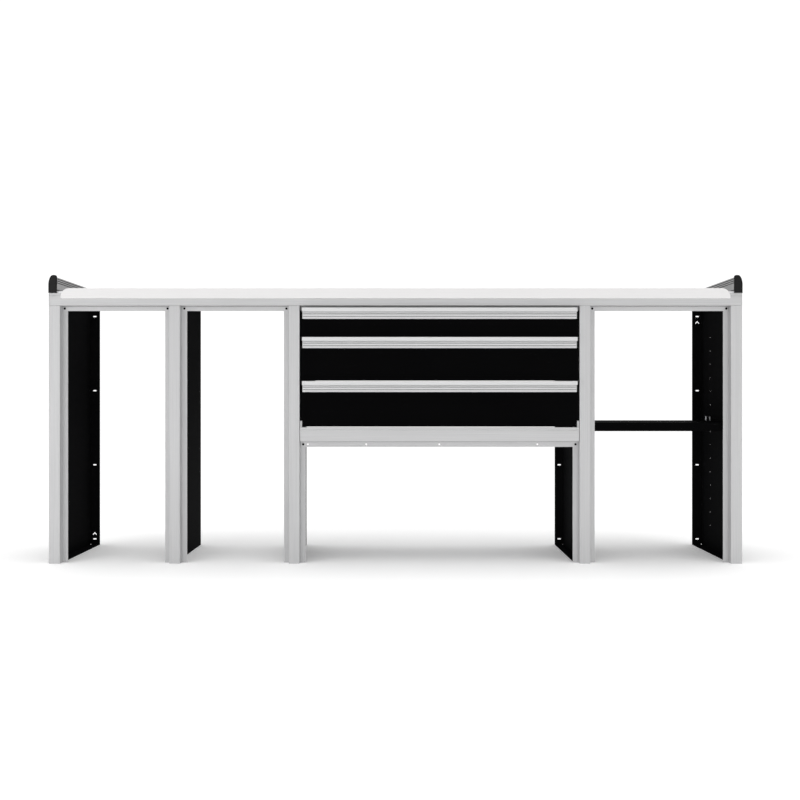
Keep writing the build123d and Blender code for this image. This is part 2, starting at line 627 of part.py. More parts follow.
base = STACK_BOTTOM
for drawer, pitch in DRAWER_PITCHES.items():
    top = base + pitch - FRONT_GAP
    half = FRONT_WIDTH / 2
    handle_half = HANDLE_WIDTH / 2

    with BuildPart() as drawer_front:
        block(BAY_CENTRE - half, BAY_CENTRE + half, FRONT_FACE, FRONT_FACE + FRONT_DEPTH, base, top)
        block(BAY_CENTRE - half + THIN_SHEET, BAY_CENTRE + half - THIN_SHEET, FRONT_FACE + THIN_SHEET,
              FRONT_FACE + FRONT_DEPTH + PAST, base + THIN_SHEET, top - THIN_SHEET, Mode.SUBTRACT)
        notch = FRONT_NOTCHES.get(drawer)
        if notch:
            notch_low, notch_high = notch
            notch_back = FRONT_FACE + FRONT_DEPTH + PAST
            for side in (-1, 1):
                edge = BAY_CENTRE + side * (half + PAST)
                inner = BAY_CENTRE + side * (half - NOTCH_WIDTH)
                block(edge, inner, FACE, notch_back, notch_low, notch_high, Mode.SUBTRACT)
    drawer_front.part.label = f"{drawer}_front"
    export_step(drawer_front.part, f"parts/{drawer}_front.step")

    with BuildPart() as drawer_handle:
        profile_start = BAY_CENTRE - handle_half + THIN_SHEET
        extrude(handle_section(profile_start, top), amount=HANDLE_WIDTH - 2 * THIN_SHEET)
    drawer_handle.part.label = f"{drawer}_handle"
    export_step(drawer_handle.part, f"parts/{drawer}_handle.step")

    with BuildPart() as handle_ends:
        for end_x in (BAY_CENTRE - handle_half, BAY_CENTRE + handle_half - THIN_SHEET):
            plate_end = end_x + THIN_SHEET
            block(end_x, plate_end, RIDGE_FACE, FRONT_FACE, top - HANDLE_HEIGHT, top)
            block(end_x, plate_end, FACE - HANDLE_PROUD + 1, FACE, top - LIP_DROP + 0.5, top - 0.5)
    handle_ends.part.label = f"{drawer}_handle_ends"
    export_step(handle_ends.part, f"parts/{drawer}_handle_ends.step")

    box_base = base + BOX_RAISE
    box_top = top - BOX_DROP
    box_start = FRONT_FACE + FRONT_DEPTH
    box_half = BOX_WIDTH / 2
    with BuildPart() as drawer_box:
        box_end = box_start + BOX_LENGTH
        block(BAY_CENTRE - box_half, BAY_CENTRE + box_half, box_start, box_end, box_base, box_top)
        block(BAY_CENTRE - box_half + THIN_SHEET, BAY_CENTRE + box_half - THIN_SHEET, box_start + THIN_SHEET,
              box_start + BOX_LENGTH - THIN_SHEET, box_base + THIN_SHEET, box_top + PAST, Mode.SUBTRACT)
    drawer_box.part.label = f"{drawer}_box"
    export_step(drawer_box.part, f"parts/{drawer}_box.step")

    runner_z = box_base + RUNNER_RAISE
    for stage, sizes in RUNNER_STAGES.items():
        runner(f"{drawer}_{stage}_runners", runner_z, **sizes)
    base += pitch

# ================================================================ shelf
with BuildPart() as shelf:
    block(SHELF_LEFT, SHELF_RIGHT, SHELF_FRONT, SHELF_REAR, SHELF_TOP - SHEET, SHELF_TOP)
    for fold_y in (SHELF_FRONT, SHELF_REAR - SHEET):
        block(SHELF_LEFT, SHELF_RIGHT, fold_y, fold_y + SHEET, SHELF_TOP - SHELF_FOLD, SHELF_TOP)
    fold_bottom = SHELF_TOP - SHELF_FOLD
    for return_y in (SHELF_FRONT, SHELF_REAR - SHELF_RETURN):
        block(SHELF_LEFT, SHELF_RIGHT, return_y, return_y + SHELF_RETURN, fold_bottom, fold_bottom + SHEET)
shelf.part.label = "shelf"
export_step(shelf.part, "parts/shelf.step")

CLIP_Z = PIN_FIRST + CLIP_HOLE * PIN_PITCH
with BuildPart() as shelf_clips:
    for web_x, toward in ((POST_4_X + SHEET / 2, 1), (END_X - SHEET, -1)):
        for clip_y in (PIN_FRONT_Y, PIN_REAR_Y):
            foot_z = SHELF_TOP - SHEET
            clip_top = CLIP_Z + CLIP_RISE
            near = clip_y - CLIP_HALF
            far = clip_y + CLIP_HALF
            hook_x = web_x + toward * CLIP_HOOK
            block(web_x, web_x + toward * CLIP_SHEET, near, far, foot_z - CLIP_DROP, clip_top)
            block(web_x, web_x + toward * CLIP_FOOT, near, far, foot_z - CLIP_ARM, foot_z)
            block(web_x, hook_x, near, far, clip_top - CLIP_ARM, clip_top)
            block(hook_x - toward * CLIP_ARM, hook_x, near, far, SHELF_TOP, clip_top)
            with Locations(Location((web_x + toward * (PIN_LENGTH / 2 - SHEET), clip_y, CLIP_Z), (0, 90, 0))):
                Cylinder(PIN_RADIUS - PIN_FIT, PIN_LENGTH)
shelf_clips.part.label = "shelf_clips"
export_step(shelf_clips.part, "parts/shelf_clips.step")

# ================================================================ fasteners
with BuildPart() as frame_screws:
    head_face = FACE + RAIL_STEP
    places = []
    for screw_x in UPPER_SCREWS:
        places.append((screw_x, UPPER_SCREW_Z))
    for screw_x in LOWER_SCREWS:
        places.append((screw_x, LOWER_SCREW_Z))
    for screw_x, screw_z in places:
        cross_bore(screw_x, head_face - SCREW_HEAD / 2, screw_z, SCREW_HEAD_RADIUS, SCREW_HEAD, Mode.ADD)
        cross_bore(screw_x, head_face + SCREW_LENGTH / 2, screw_z, SCREW_RADIUS, SCREW_LENGTH, Mode.ADD)
frame_screws.part.label = "frame_screws"
export_step(frame_screws.part, "parts/frame_screws.step")
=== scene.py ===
"""A workshop bench with drawers: its shapes, finishes, studio and camera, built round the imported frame."""

import logging
import math
from collections.abc import Callable, Iterator, Sequence
from contextlib import contextmanager
from dataclasses import dataclass
from enum import Enum

import bmesh
import bpy
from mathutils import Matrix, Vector


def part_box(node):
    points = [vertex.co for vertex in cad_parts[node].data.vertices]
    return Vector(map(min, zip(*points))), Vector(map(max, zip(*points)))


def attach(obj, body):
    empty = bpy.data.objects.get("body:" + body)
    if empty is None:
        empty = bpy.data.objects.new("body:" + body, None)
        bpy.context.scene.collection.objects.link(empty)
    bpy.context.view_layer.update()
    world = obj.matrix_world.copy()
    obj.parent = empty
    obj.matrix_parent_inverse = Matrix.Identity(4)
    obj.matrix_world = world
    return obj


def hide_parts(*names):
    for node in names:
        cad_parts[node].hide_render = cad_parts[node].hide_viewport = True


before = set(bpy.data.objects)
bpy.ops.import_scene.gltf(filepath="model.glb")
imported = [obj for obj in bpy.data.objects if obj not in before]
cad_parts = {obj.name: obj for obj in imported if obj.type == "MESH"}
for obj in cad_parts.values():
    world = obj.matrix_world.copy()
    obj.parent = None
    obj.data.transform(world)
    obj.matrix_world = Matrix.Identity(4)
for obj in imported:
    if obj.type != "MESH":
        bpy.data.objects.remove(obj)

logging.basicConfig(level=logging.INFO, format="%(name)s: %(message)s")
log = logging.getLogger("workbench")

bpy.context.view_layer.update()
MM = 0.001
NEAR = 0.05 * MM
PAST = 5.0 * MM
MERGED = 0.01 * MM
COLLAPSED = 0.001 * MM
FLAT_ANGLE = math.radians(0.5)

Colour = tuple[float, float, float]
FaceTest = Callable[[Vector, Vector], bool]
EdgeTest = Callable[[Vector, Vector], bool]


class Slot(Enum):
    """The finish slots that the record names."""

    ALUMINIUM = "anodised_aluminium"
    COAT = "black_powder_coat"
    LAMINATE = "white_laminate"
    BLACK_PLASTIC = "black_plastic"
    GREY_PLASTIC = "grey_plastic"
    ZINC = "zinc_plated_steel"
    SHEET = "grey_sheet_steel"
    SCREW = "black_screws"


class Lines(Enum):
    """How far a pattern is drawn out along each axis, as multiples of its scale."""

    ALONG_X = (0.006, 1.0, 1.0)
    ALONG_Y = (1.0, 0.006, 1.0)
    ALONG_Z = (1.0, 1.0, 0.006)
    NONE = (1.0, 1.0, 1.0)


class Side(Enum):
    """The two ends of the bench."""

    LEFT = -1
    RIGHT = 1


# ---------------------------------------------------------------- finishes
class Graph:
    """A material's node graph, with short ways to add the nodes that the finishes share."""

    def __init__(self, name: str) -> None:
        """Make an empty material.

        Args:
            name: The material's name.
        """
        self.material = bpy.data.materials.new(name)
        self.material.use_nodes = True
        self.tree = self.material.node_tree
        self.shader = self.tree.nodes["Principled BSDF"]
        self.place = self.add("ShaderNodeTexCoord").outputs["Object"]

    def add(self, kind: str) -> bpy.types.Node:
        """Add a node of that kind."""
        return self.tree.nodes.new(kind)

    def link(self, source: bpy.types.NodeSocket, target: bpy.types.NodeSocket) -> None:
        """Join two sockets."""
        self.tree.links.new(source, target)

    def stretched(self, stretch: Sequence[float]) -> bpy.types.NodeSocket:
        """Scale the object's coordinates.

        Args:
            stretch: The scale on each axis.

        Returns:
            The scaled coordinates.
        """
        mapping = self.add("ShaderNodeMapping")
        mapping.inputs["Scale"].default_value = stretch
        self.link(self.place, mapping.inputs["Vector"])
        return mapping.outputs["Vector"]

    def noise(self, place: bpy.types.NodeSocket, scale: float, detail: float = 2.0) -> bpy.types.NodeSocket:
        """Add a noise pattern.

        Args:
            place: The coordinates that it follows.
            scale: Its scale, in features per metre.
            detail: How many octaves it has.

        Returns:
            Its value, from 0 to 1.
        """
        pattern = self.add("ShaderNodeTexNoise")
        pattern.inputs["Scale"].default_value = scale
        pattern.inputs["Detail"].default_value = detail
        self.link(place, pattern.inputs["Vector"])
        return pattern.outputs["Fac"]

    def cells(self, scale: float) -> bpy.types.NodeSocket:
        """Add a pattern of cells, each with a shade of its own.

        Args:
            scale: Its scale, in cells per metre.

        Returns:
            The cells' shade, from 0 to 1.
        """
        pattern = self.add("ShaderNodeTexVoronoi")
        pattern.inputs["Scale"].default_value = scale
        self.link(self.place, pattern.inputs["Vector"])
        split = self.add("ShaderNodeSeparateColor")
        self.link(pattern.outputs["Color"], split.inputs["Color"])
        return split.outputs["Red"]

    def between(
        self, value: bpy.types.NodeSocket, low: float, high: float, start: float = 0.3, stop: float = 0.7
    ) -> bpy.types.NodeSocket:
        """Carry a part of a pattern's range over to another range.

        Args:
            value: The pattern, from 0 to 1.
            low: What its dark parts become.
            high: What its bright parts become.
            start: Where the dark parts end.
            stop: Where the bright parts begin.

        Returns:
            The new value.
        """
        ranged = self.add("ShaderNodeMapRange")
        ranged.inputs["From Min"].default_value = start
        ranged.inputs["From Max"].default_value = stop
        ranged.inputs["To Min"].default_value = low
        ranged.inputs["To Max"].default_value = high
        self.link(value, ranged.inputs["Value"])
        return ranged.outputs["Result"]

    def occlusion_for_painted_shade(self, reach: float) -> bpy.types.NodeSocket:
        """Find how open the surface lies to its own piece, for the shade painted into its grooves and
        corners.

        Args:
            reach: How far away the piece can still hide the surface, in metres.

        Returns:
            Its openness, from 0 deep in a groove to 1 in the open.
        """
        # Painted shade: this occlusion value darkens the colour where the piece hides its own grooves and
        # corners.
        openness = self.add("ShaderNodeAmbientOcclusion")
        openness.only_local = True
        openness.samples = 8
        openness.inputs["Distance"].default_value = reach
        return openness.outputs["AO"]

    def blended(
        self, share: bpy.types.NodeSocket, first: Colour | bpy.types.NodeSocket, second: Colour
    ) -> bpy.types.NodeSocket:
        """Mix two colours.

        Args:
            share: How much of the second shows, from 0 to 1.
            first: The first colour, or a socket that gives it.
            second: The second colour.

        Returns:
            The mixed colour.
        """
        mix = self.add("ShaderNodeMix")
        mix.data_type = "RGBA"
        self.link(share, mix.inputs["Factor"])
        if isinstance(first, tuple):
            mix.inputs["A"].default_value = (*first, 1.0)
        else:
            self.link(first, mix.inputs["A"])
        mix.inputs["B"].default_value = (*second, 1.0)
        return mix.outputs["Result"]

    def raise_by(self, height: bpy.types.NodeSocket, strength: float, distance: float) -> None:
        """Let a pattern raise the surface.

        Args:
            height: The pattern.
            strength: How much of it is felt.
            distance: The pattern's real height, in metres.
        """
        bump = self.add("ShaderNodeBump")
        bump.inputs["Strength"].default_value = strength
        bump.inputs["Distance"].default_value = distance
        self.link(height, bump.inputs["Height"])
        self.link(bump.outputs["Normal"], self.shader.inputs["Normal"])


def tinted(colour: Colour, factor: float) -> Colour:
    """Return a colour made lighter or darker by a factor."""
    return tuple(min(1.0, part * factor) for part in colour)


@dataclass(frozen=True)
class Finish:
    """A surface finish: a base colour with a broad and a fine pattern over it, and painted shade in its
    grooves where asked.
    """

    name: str
    slot: Slot
    colour: Colour
    roughness: float
    metallic: float = 0.0
    specular: float = 0.5
    coat: float = 0.0
    coat_roughness: float = 0.2
    broad_scale: float = 5.0
    broad_shade: float = 0.03
    fine_scale: float = 900.0
    fine_shade: float = 0.04
    fine_rough: float = 0.05
    fine_height: float = 0.02
    # Painted shade: these four settings darken the colour in grooves and inner corners, where shade falls.
    painted_crevice_shade: float = 0.0
    painted_crevice_reach: float = 5.0
    painted_crevice_deep: float = 0.5
    painted_crevice_open: float = 0.93
    lines: Lines = Lines.NONE

    def fine_pattern(self, graph: Graph) -> bpy.types.NodeSocket:
        """Add the fine pattern to a graph and return its value."""
        return graph.noise(graph.stretched(self.lines.value), self.fine_scale, 3.0)

    def shaded(self, graph: Graph, fine: bpy.types.NodeSocket) -> bpy.types.NodeSocket:
        """Lay the broad and the fine shade over the base colour, and paint shade into the grooves and inner
        corners where the finish asks for it.

        Args:
            graph: The graph of the finish's material.
            fine: The fine pattern.

        Returns:
            The surface's colour.
        """
        broad = graph.between(graph.noise(graph.place, self.broad_scale), 0.0, 1.0)
        darker, lighter = (tinted(self.colour, 1 + sign * self.broad_shade) for sign in (-1, 1))
        base = graph.blended(broad, darker, lighter)
        grained = graph.blended(graph.between(fine, 0.0, self.fine_shade), base, (0.0, 0.0, 0.0))
        # Painted shade: the piece's own occlusion darkens the colour in its grooves and corners.
        if not self.painted_crevice_shade:
            return grained
        openness = graph.occlusion_for_painted_shade(self.painted_crevice_reach * MM)
        shade = graph.between(openness, self.painted_crevice_shade, 0.0, self.painted_crevice_deep, self.painted_crevice_open)
        return graph.blended(shade, grained, (0.0, 0.0, 0.0))

    def material(self) -> bpy.types.Material:
        """Return the finish's material, which is made the first time.

        Returns:
            The material.
        """
        made = bpy.data.materials.get(self.name)
        if made:
            return made
        graph = Graph(self.name)
        fine = self.fine_pattern(graph)
        inputs = graph.shader.inputs
        graph.link(self.shaded(graph, fine), inputs["Base Color"])
        spread = self.fine_rough
        graph.link(graph.between(fine, self.roughness - spread, self.roughness + spread), inputs["Roughness"])
        inputs["Metallic"].default_value = self.metallic
        inputs["Specular IOR Level"].default_value = self.specular
        inputs["Coat Weight"].default_value = self.coat
        inputs["Coat Roughness"].default_value = self.coat_roughness
        graph.raise_by(fine, 1.0, self.fine_height * MM)
        return graph.material


@dataclass(frozen=True)
class PlatedSteel(Finish):
    """Zinc-plated steel: small crystals, each with its own shade, over a fine grain."""

    crystal_scale: float = 260.0
    crystal_shade: float = 0.10

    def shaded(self, graph: Graph, fine: bpy.types.NodeSocket) -> bpy.types.NodeSocket:
        """Lay the crystals over the base colour.

        Args:
            graph: The graph of the finish's material.
            fine: The fine pattern.

        Returns:
            The surface's colour.
        """
        base = super().shaded(graph, fine)
        crystals = graph.between(graph.cells(self.crystal_scale), 0.0, self.crystal_shade)
        return graph.blended(crystals, base, tinted(self.colour, 0.6))


@dataclass(frozen=True)
class PowderCoat(Finish):
    """Powder coat: a pebbled skin with rare bright specks."""

    speck_scale: float = 1500.0
    speck_shade: float = 0.12
    speck_start: float = 0.66
    speck_stop: float = 0.8

    def shaded(self, graph: Graph, fine: bpy.types.NodeSocket) -> bpy.types.NodeSocket:
        """Lay the specks over the base colour.

        Args:
            graph: The graph of the finish's material.
            fine: The fine pattern.

        Returns:
            The surface's colour.
        """
        base = super().shaded(graph, fine)
        pattern = graph.noise(graph.place, self.speck_scale)
        specks = graph.between(pattern, 0.0, self.speck_shade, self.speck_start, self.speck_stop)
        return graph.blended(specks, base, tinted(self.colour, 3.0))


ALUMINIUM: Colour = (0.62, 0.62, 0.625)


def anodised(lines: Lines, name: str, painted_light_factor: float = 1.0, painted_groove_shade: float = 0.35) -> Finish:
    """Make the satin anodised finish of one run of profiles.

    Args:
        lines: The way the drawing lines run.
        name: The material's name.
        painted_light_factor: A factor on the aluminium's colour, painting the run lighter or darker for the
            light that falls on it.
        painted_groove_shade: How much shade is painted into its grooves and corners.

    Returns:
        The finish.
    """
    # Painted light: the factor lightens or darkens the one aluminium colour, and the groove setting paints
    # shade into grooves and corners.
    return Finish(
        name, Slot.ALUMINIUM, tinted(ALUMINIUM, painted_light_factor), roughness=0.46, metallic=0.35, specular=0.4,
        broad_scale=2.2, broad_shade=0.015, fine_scale=650.0, fine_shade=0.09, fine_rough=0.07,
        fine_height=0.006, painted_crevice_shade=painted_groove_shade, lines=lines,
    )


# Painted light: all five runs are one aluminium; the handle and foot are painted lighter and the end rail
# darker for how light falls on them.
# The foot is painted lightest, as a painted highlight, and every run has shade painted into its grooves and
# corners.
UPRIGHT_PROFILE = anodised(Lines.ALONG_Z, "anodised upright", 1.0, 0.1)
CROSS_PROFILE = anodised(Lines.ALONG_X, "anodised cross rail", 1.0, 0.6)
DEPTH_PROFILE = anodised(Lines.ALONG_Y, "anodised end rail", 0.95, 0.96)
FOOT_PROFILE = anodised(Lines.ALONG_Y, "anodised foot", 1.5)
HANDLE_PROFILE = anodised(Lines.ALONG_X, "anodised handle", 1.24, 0.8)
# Painted light: panels, fronts and shelf are one black powder coat; the two copies differ in shade to suit
# how light falls on each.
PANEL_COAT = PowderCoat(
    "powder coat panels", Slot.COAT, (0.0075, 0.0075, 0.0081), roughness=0.6, specular=0.003,
    broad_scale=3.0, broad_shade=0.1, fine_scale=620.0, fine_shade=0.1, fine_rough=0.08, fine_height=0.05,
)
FRONT_COAT = PowderCoat(
    "powder coat fronts", Slot.COAT, (0.0024, 0.0024, 0.0026), roughness=0.5, specular=0.008,
    broad_scale=3.0, broad_shade=0.1, fine_scale=620.0, fine_shade=0.1, fine_rough=0.08, fine_height=0.05,
)
WHITE_LAMINATE = Finish(
    "white laminate", Slot.LAMINATE, (0.83, 0.825, 0.82), roughness=0.38, specular=0.45,
    broad_scale=3.5, broad_shade=0.008, fine_scale=1100.0, fine_shade=0.03, fine_rough=0.05, fine_height=0.02,
)
WHITE_NOSING = Finish(
    "white nosing", Slot.LAMINATE, (0.84, 0.83, 0.828), roughness=0.3, specular=0.5,
    broad_scale=2.0, broad_shade=0.008, fine_scale=800.0, fine_shade=0.02, fine_rough=0.04, fine_height=0.01,
    lines=Lines.ALONG_X,
)
CAP_PLASTIC = Finish(
    "glossy black cap", Slot.BLACK_PLASTIC, (0.008, 0.008, 0.0085), roughness=0.2, specular=0.2, coat=0.05,
    broad_scale=12.0, broad_shade=0.06, fine_scale=900.0, fine_shade=0.06, fine_rough=0.04, fine_height=0.01,
)
PLUG_PLASTIC = Finish(
    "matt black plug", Slot.BLACK_PLASTIC, (0.014, 0.014, 0.0145), roughness=0.5, specular=0.4,
    broad_scale=12.0, broad_shade=0.06, fine_scale=1400.0, fine_shade=0.08, fine_rough=0.06, fine_height=0.03,
)
GREY_PLASTIC = Finish(
    "moulded grey", Slot.GREY_PLASTIC, (0.52, 0.52, 0.525), roughness=0.45, specular=0.45,
    broad_scale=10.0, broad_shade=0.02, fine_scale=1300.0, fine_shade=0.05, fine_rough=0.05, fine_height=0.02,
)
ZINC = PlatedSteel(
    "zinc plate", Slot.ZINC, (0.50, 0.51, 0.53), roughness=0.34, metallic=0.9,
    broad_scale=8.0, broad_shade=0.04, fine_scale=900.0, fine_shade=0.08, fine_rough=0.08, fine_height=0.008,
)
BOX_STEEL = PowderCoat(
    "grey lacquered sheet", Slot.SHEET, (0.16, 0.163, 0.17), roughness=0.42, specular=0.4,
    broad_scale=4.0, broad_shade=0.03, fine_scale=700.0, fine_shade=0.06, fine_rough=0.06, fine_height=0.03,
    speck_shade=0.05,
)
BLACK_SCREW = Finish(
    "blackened screw", Slot.SCREW, (0.003, 0.003, 0.0032), roughness=0.4, specular=0.03,
    broad_scale=60.0, broad_shade=0.1, fine_scale=2200.0, fine_shade=0.1, fine_rough=0.08, fine_height=0.01,
)


# ---------------------------------------------------------------- shaping
class Shaper:
    """A mesh under work, whose faces and edges are picked by place and shaped with Blender's tools."""

    def __init__(self, obj: bpy.types.Object) -> None:
        """Take a mesh object in hand."""
        self.obj = obj

    @classmethod
    def block(cls, name: str, low: Sequence[float], high: Sequence[float]) -> "Shaper":
        """Start from a block.

        Args:
            name: The piece's name.
            low: Its lowest corner.
            high: Its highest corner.

        Returns:
            The block in hand.
        """
        bpy.ops.object.select_all(action="DESELECT")
        start, end = Vector(low), Vector(high)
        bpy.ops.mesh.primitive_cube_add(size=1.0, location=(start + end) / 2, scale=end - start)
        return cls._placed(name)

    @classmethod
    def rod(
        cls, name: str, centre: Sequence[float], radius: float, length: float, corners: int = 32
    ) -> "Shaper":
        """Start from a rod that lies front to back.

        Args:
            name: The piece's name.
            centre: The rod's middle.
            radius: Its radius.
            length: Its length along Y.
            corners: How many sides it has.

        Returns:
            The rod in hand.
        """
        bpy.ops.object.select_all(action="DESELECT")
        bpy.ops.mesh.primitive_cylinder_add(
            vertices=corners, radius=radius, depth=length, location=centre, rotation=(math.pi / 2, 0.0, 0.0)
        )
        return cls._placed(name)

    @classmethod
    def copy_of(cls, node: str, name: str) -> "Shaper":
        """Start from a merged copy of a frame node.

        Args:
            node: The frame node.
            name: The piece's name.

        Returns:
            The copy in hand, its flat faces made whole.
        """
        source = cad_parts[node]
        obj = bpy.data.objects.new(name, source.data.copy())
        bpy.context.scene.collection.objects.link(obj)
        shaper = cls(obj)
        with shaper.editing():
            bpy.ops.mesh.customdata_custom_splitnormals_clear()
            bpy.ops.mesh.select_all(action="SELECT")
            bpy.ops.mesh.remove_doubles(threshold=MERGED)
            bpy.ops.mesh.dissolve_limited(angle_limit=FLAT_ANGLE)
        return shaper

    @classmethod
    def _placed(cls, name: str) -> "Shaper":
        """Name the new primitive and put its place into its mesh."""
        obj = bpy.context.object
        obj.name = name
        obj.data.name = name
        bpy.ops.object.transform_apply(location=True, rotation=True, scale=True)
        return cls(obj)

    def copied(self, name: str, move: Sequence[float]) -> "Shaper":
        """Copy the piece with a mesh of its own.

        Args:
            name: The copy's name.
            move: How far the copy stands from the piece.

        Returns:
            The copy in hand.
        """
        self.activate()
        bpy.ops.object.duplicate(linked=False)
        bpy.ops.transform.translate(value=move)
        return self._placed(name)

    def activate(self) -> None:
        """Select this piece and nothing else."""
        bpy.ops.object.select_all(action="DESELECT")
        self.obj.select_set(True)
        bpy.context.view_layer.objects.active = self.obj

    @contextmanager
    def editing(self) -> Iterator[None]:
        """Hold the piece in edit mode."""
        self.activate()
        bpy.ops.object.mode_set(mode="EDIT")
        yield
        bpy.ops.object.mode_set(mode="OBJECT")

    def pick_faces(self, test: FaceTest) -> None:
        """Select the faces that pass a test.

        Args:
            test: Takes a face's centre and normal.
        """
        bpy.ops.mesh.select_mode(type="FACE")
        bpy.ops.mesh.select_all(action="DESELECT")
        mesh = bmesh.from_edit_mesh(self.obj.data)
        for face in mesh.faces:
            if test(face.calc_center_median(), face.normal):
                face.select_set(True)
        bmesh.update_edit_mesh(self.obj.data)

    def pick_edges(self, test: EdgeTest) -> None:
        """Select the edges that pass a test.

        Args:
            test: Takes an edge's two ends.
        """
        bpy.ops.mesh.select_mode(type="EDGE")
        bpy.ops.mesh.select_all(action="DESELECT")
        mesh = bmesh.from_edit_mesh(self.obj.data)
        for edge in mesh.edges:
            if test(edge.verts[0].co, edge.verts[1].co):
                edge.select_set(True)
        bmesh.update_edit_mesh(self.obj.data)

    def pick_line(self, **at: float) -> None:
        """Select the edges whose two ends lie at the given x, y or z."""
        self.pick_edges(lambda *ends: all(
            abs(getattr(end, axis) - value) < NEAR for axis, value in at.items() for end in ends
        ))

    def cut(self, axis: int, at: float) -> None:
        """Cut all faces through with a flat plane.

        Args:
            axis: The plane's axis, 0 to 2.
            at: Where the plane stands on it.
        """
        bpy.ops.mesh.select_mode(type="VERT")
        bpy.ops.mesh.select_all(action="SELECT")
        point, normal = [0.0, 0.0, 0.0], [0.0, 0.0, 0.0]
        point[axis], normal[axis] = at, 1.0
        bpy.ops.mesh.bisect(plane_co=point, plane_no=normal)

    def extrude(self, move: Sequence[float]) -> None:
        """Extrude the picked faces by a vector."""
        bpy.ops.mesh.extrude_region_move(TRANSFORM_OT_translate={"value": tuple(move)})

    def inset(self, width: float) -> None:
        """Inset the picked faces by a width."""
        bpy.ops.mesh.inset(thickness=width, depth=0.0)

    def bevel(self, width: float, segments: int = 2) -> None:
        """Round the picked edges as far as a width reaches, in a number of steps."""
        bpy.ops.mesh.bevel(offset=width, segments=segments, affect="EDGES", clamp_overlap=False)

    def soften(self, width: float, segments: int = 2, angle: float = 40.0) -> None:
        """Round every sharp edge a little, in edit mode.

        Args:
            width: How far the rounding reaches.
            segments: How many steps it has.
            angle: How sharp an edge has to be, in degrees.
        """
        bpy.ops.mesh.select_mode(type="EDGE")
        bpy.ops.mesh.select_all(action="DESELECT")
        bpy.ops.mesh.edges_select_sharp(sharpness=math.radians(angle))
        self.bevel(width, segments)
        bpy.ops.mesh.select_all(action="SELECT")
        bpy.ops.mesh.dissolve_degenerate(threshold=COLLAPSED)

    def carve(self, tool: "Shaper") -> None:
        """Cut a tool's shape out of the piece and put the tool away.

        Args:
            tool: The cutting shape.
        """
        self.activate()
        cutter = self.obj.modifiers.new("carve", "BOOLEAN")
        cutter.operation = "DIFFERENCE"
        cutter.solver = "EXACT"
        cutter.object = tool.obj
        bpy.ops.object.modifier_apply(modifier=cutter.name)
        bpy.data.objects.remove(tool.obj)

    def dress(self, finish: Finish, body: str, stands_for: Sequence[str] = (), smooth: float = 38.0) -> None:
        """Smooth the piece, give it its finish and let it ride on its body.

        Args:
            finish: The surface finish.
            body: The frame body that it moves with.
            stands_for: The frame nodes that it replaces.
            smooth: Edges flatter than this, in degrees, are shaded smooth.
        """
        self.activate()
        bpy.ops.object.shade_smooth_by_angle(angle=math.radians(smooth))
        weighted = self.obj.modifiers.new("even shading", "WEIGHTED_NORMAL")
        weighted.keep_sharp = True
        bpy.ops.object.modifier_apply(modifier=weighted.name)
        self.obj.data.materials.clear()
        self.obj.data.materials.append(finish.material())
        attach(self.obj, body)
        if stands_for:
            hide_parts(*stands_for)
        log.info("%s: %d faces, on %s", self.obj.name, len(self.obj.data.polygons), body)


def softened_node(
    node: str, finish: Finish, body: str = "frame", width: float = 0.5, segments: int = 2
) -> None:
    """Stand a copy with rounded edges in for a frame node.

    Args:
        node: The frame node.
        finish: Its finish.
        body: The body that it rides on.
        width: The rounding, in millimetres.
        segments: How many steps the rounding has.
    """
    shaper = Shaper.copy_of(node, f"{node}_shaped")
    with shaper.editing():
        shaper.soften(width * MM, segments)
    shaper.dress(finish, body, [node])


# ---------------------------------------------------------------- sub-assemblies
@dataclass
class FrontFrame:
    """The aluminium posts and rails across the front, with the small mouldings at their ends."""

    posts: tuple[str, ...] = ("front_post_1", "front_post_2", "front_post_3", "front_post_4", "front_post_5")
    rails: tuple[str, ...] = ("front_top_rail", "drawer_bay_lower_rail")
    mouldings: tuple[str, ...] = ("top_rail_end_plates", "lower_rail_corner_blocks")
    edge: float = 0.35

    def build(self) -> None:
        """Build the posts, the rails and the mouldings."""
        for post in self.posts:
            softened_node(post, UPRIGHT_PROFILE, width=self.edge)
        for rail in self.rails:
            softened_node(rail, CROSS_PROFILE, width=self.edge)
        for moulding in self.mouldings:
            softened_node(moulding, GREY_PLASTIC, width=0.3)


@dataclass
class SidePanels:
    """The five folded steel side panels, with round bends at the web."""

    names: tuple[str, ...] = (
        "left_end_panel", "left_divider_panel", "drawer_bay_left_panel", "drawer_bay_right_panel",
        "right_end_panel",
    )
    web_sides: tuple[Side, ...] = (Side.LEFT, Side.RIGHT, Side.RIGHT, Side.RIGHT, Side.RIGHT)
    sheet: float = 1.5 * MM
    bend: float = 2.6 * MM
    edge: float = 0.35 * MM

    def build(self) -> None:
        """Build the five panels."""
        for name, side in zip(self.names, self.web_sides):
            self.panel(name, side)

    def panel(self, name: str, side: Side) -> None:
        """Build one panel.

        Args:
            name: The frame node.
            side: The side on which its web stands.
        """
        low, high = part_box(name)
        outer = low.x if side is Side.LEFT else high.x
        inner = outer - side.value * self.sheet
        shaper = Shaper.copy_of(name, f"{name}_folded")
        with shaper.editing():
            for web, lips, width, segments in (
                (outer, (low.y, high.y), self.bend, 5),
                (inner, (low.y + self.sheet, high.y - self.sheet), self.bend - self.sheet, 3),
            ):
                shaper.pick_edges(
                    lambda a, b: abs(a.x - web) < NEAR and abs(b.x - web) < NEAR
                    and any(abs(a.y - lip) < NEAR and abs(b.y - lip) < NEAR for lip in lips)
                )
                shaper.bevel(width, segments)
            shaper.soften(self.edge, 1, 60.0)
        shaper.dress(PANEL_COAT, "frame", [name])


